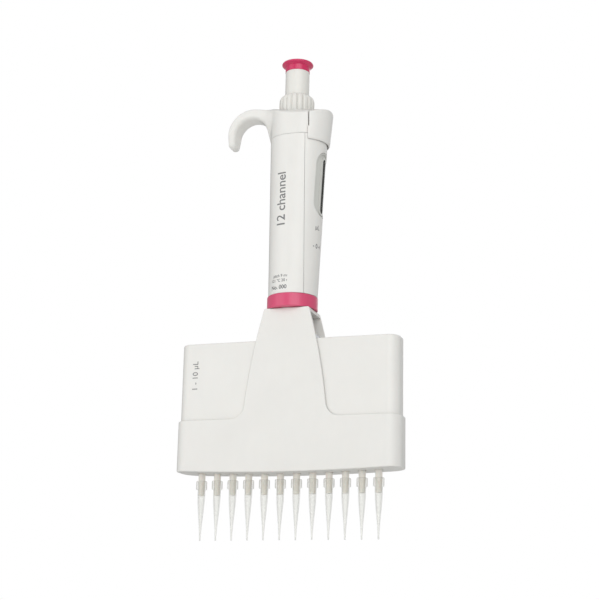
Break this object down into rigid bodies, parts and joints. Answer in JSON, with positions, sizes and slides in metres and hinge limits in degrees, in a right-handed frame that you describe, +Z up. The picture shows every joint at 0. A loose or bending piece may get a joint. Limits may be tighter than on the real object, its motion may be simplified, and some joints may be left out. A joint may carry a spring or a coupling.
{
  "type": "multichannel pipette",
  "caption": "Hand-held multichannel air-displacement pipette with a swivelling nozzle manifold, sprung plunger, volume dial, tip ejector, hooked finger rest and a row of fitted tips.",
  "frame": {"origin": "on the swivel axis, level with the ends of the tips", "axes": "+Z up along the handle, +X along the manifold towards the display side, finger rest towards -X, -Y towards the front"},
  "size_m": [0.1252, 0.029, 0.2685],
  "materials": {
    "body_white": "fine satin moulding",
    "dial_white": "satin",
    "cap_pink": "satin gloss",
    "ring_pink": "satin gloss",
    "stem_ivory": "satin",
    "tip_clear": "translucent",
    "bezel_grey": "fine satin",
    "lens_smoke": "smoked, polished",
    "drum_black": "matte",
    "inner_grey": "glass-filled, matte",
    "inner_acetal": "smooth",
    "steel": "ground",
    "spring_steel": "drawn wire",
    "brass": "turned",
    "seal_rubber": "matte"
  },
  "bodies": {
    "handle": {"grip_shell": "body_white", "display_shell": "body_white", "display_bezel": "bezel_grey", "window_lens": "lens_smoke", "finger_rest": "body_white", "coupling_nut": "ring_pink", "chassis": "inner_grey", "swivel_bush": "inner_acetal", "dial_bush": "inner_acetal", "counter_frame": "inner_grey", "plunger_spring": "spring_steel", "blowout_spring": "spring_steel", "ejector_spring": "spring_steel"},
    "plunger": {"plunger_rod": "steel", "plunger_tube": "dial_white", "push_cap": "cap_pink"},
    "blowout": {"blowout_washer": "inner_acetal"},
    "dial": {"volume_dial": "dial_white"},
    "stop": {"stop_nut": "brass"},
    "counter_tenths": {"drum_tenths": "drum_black"},
    "counter_units": {"drum_units": "drum_black"},
    "counter_tens": {"drum_tens": "drum_black"},
    "ejector": {"ejector_button": "body_white", "ejector_fork": "inner_grey"},
    "head": {"neck_tube": "steel", "retaining_ring": "steel", "head_screws": "steel", "manifold_cover": "body_white", "nozzle_base": "inner_grey", "seal_plate": "inner_grey", "piston_seals": "seal_rubber", "guide_rods": "steel", "bar_springs": "spring_steel", "nozzle_01": "stem_ivory", "nozzle_02": "stem_ivory", "nozzle_03": "stem_ivory", "nozzle_04": "stem_ivory", "nozzle_05": "stem_ivory", "nozzle_06": "stem_ivory", "nozzle_07": "stem_ivory", "nozzle_08": "stem_ivory", "nozzle_09": "stem_ivory", "nozzle_10": "stem_ivory", "nozzle_11": "stem_ivory", "nozzle_12": "stem_ivory"},
    "piston_set": {"piston_bar": "inner_grey", "pistons": "steel"},
    "hood": {"ejector_hood": "body_white"},
    "tip_row": {"tip_01": "tip_clear", "tip_02": "tip_clear", "tip_03": "tip_clear", "tip_04": "tip_clear", "tip_05": "tip_clear", "tip_06": "tip_clear", "tip_07": "tip_clear", "tip_08": "tip_clear", "tip_09": "tip_clear", "tip_10": "tip_clear", "tip_11": "tip_clear", "tip_12": "tip_clear"}
  },
  "joints": [
    {"name": "plunger_press", "type": "slide", "parent": "handle", "child": "plunger", "axis": [0, 0, -1], "range_m": [0, 0.013], "stiffness_N_per_m": 200, "springref_m": -0.015, "deforming": ["plunger_spring"]},
    {"name": "blowout_travel", "type": "slide", "parent": "handle", "child": "blowout", "axis": [0, 0, -1], "range_m": [0, 0.0025], "deforming": ["blowout_spring"]},
    {"name": "ejector_press", "type": "slide", "parent": "handle", "child": "ejector", "axis": [0, 0, -1], "range_m": [0, 0.008], "stiffness_N_per_m": 300, "springref_m": -0.015, "deforming": ["ejector_spring"]},
    {"name": "dial_turn", "type": "hinge", "parent": "handle", "child": "dial", "pos_m": [0, 0, 0.18], "axis": [0, 0, -1], "range_deg": [0, 3420]},
    {"name": "stop_travel", "type": "slide", "parent": "handle", "child": "stop", "axis": [0, 0, -1], "range_m": [0, 0.01]},
    {"name": "tenths_turn", "type": "hinge", "parent": "handle", "child": "counter_tenths", "pos_m": [0.0024, 0, 0.18], "axis": [0, 0, 1], "range_deg": [0, 3421]},
    {"name": "units_turn", "type": "hinge", "parent": "handle", "child": "counter_units", "pos_m": [0.0024, 0, 0.18], "axis": [0, 0, 1], "range_deg": [0, 342.1]},
    {"name": "tens_turn", "type": "hinge", "parent": "handle", "child": "counter_tens", "pos_m": [0.0024, 0, 0.18], "axis": [0, 0, 1], "range_deg": [0, 34.3]},
    {"name": "head_swivel", "type": "hinge", "parent": "handle", "child": "head", "pos_m": [0, 0, 0.18], "axis": [0, 0, 1], "continuous": true},
    {"name": "piston_travel", "type": "slide", "parent": "head", "child": "piston_set", "axis": [0, 0, -1], "range_m": [0, 0.013], "deforming": ["bar_springs"]},
    {"name": "hood_travel", "type": "slide", "parent": "head", "child": "hood", "axis": [0, 0, -1], "range_m": [0, 0.008]},
    {"name": "tip_release", "type": "slide", "parent": "head", "child": "tip_row", "axis": [0, 0, -1], "range_m": [0, 0.005]}
  ],
  "couplings": [
    {"joint": "blowout_travel", "follows": "plunger_press", "ratio": 0.1923},
    {"joint": "piston_travel", "follows": "plunger_press", "ratio": 1},
    {"joint": "hood_travel", "follows": "ejector_press", "ratio": 1},
    {"joint": "tip_release", "follows": "ejector_press", "ratio": 0.625},
    {"joint": "stop_travel", "follows": "dial_turn", "m_per_rad": 0.0001671},
    {"joint": "tenths_turn", "follows": "dial_turn", "ratio": 1},
    {"joint": "units_turn", "follows": "dial_turn", "ratio": 0.1},
    {"joint": "tens_turn", "follows": "dial_turn", "ratio": 0.01}
  ]
}
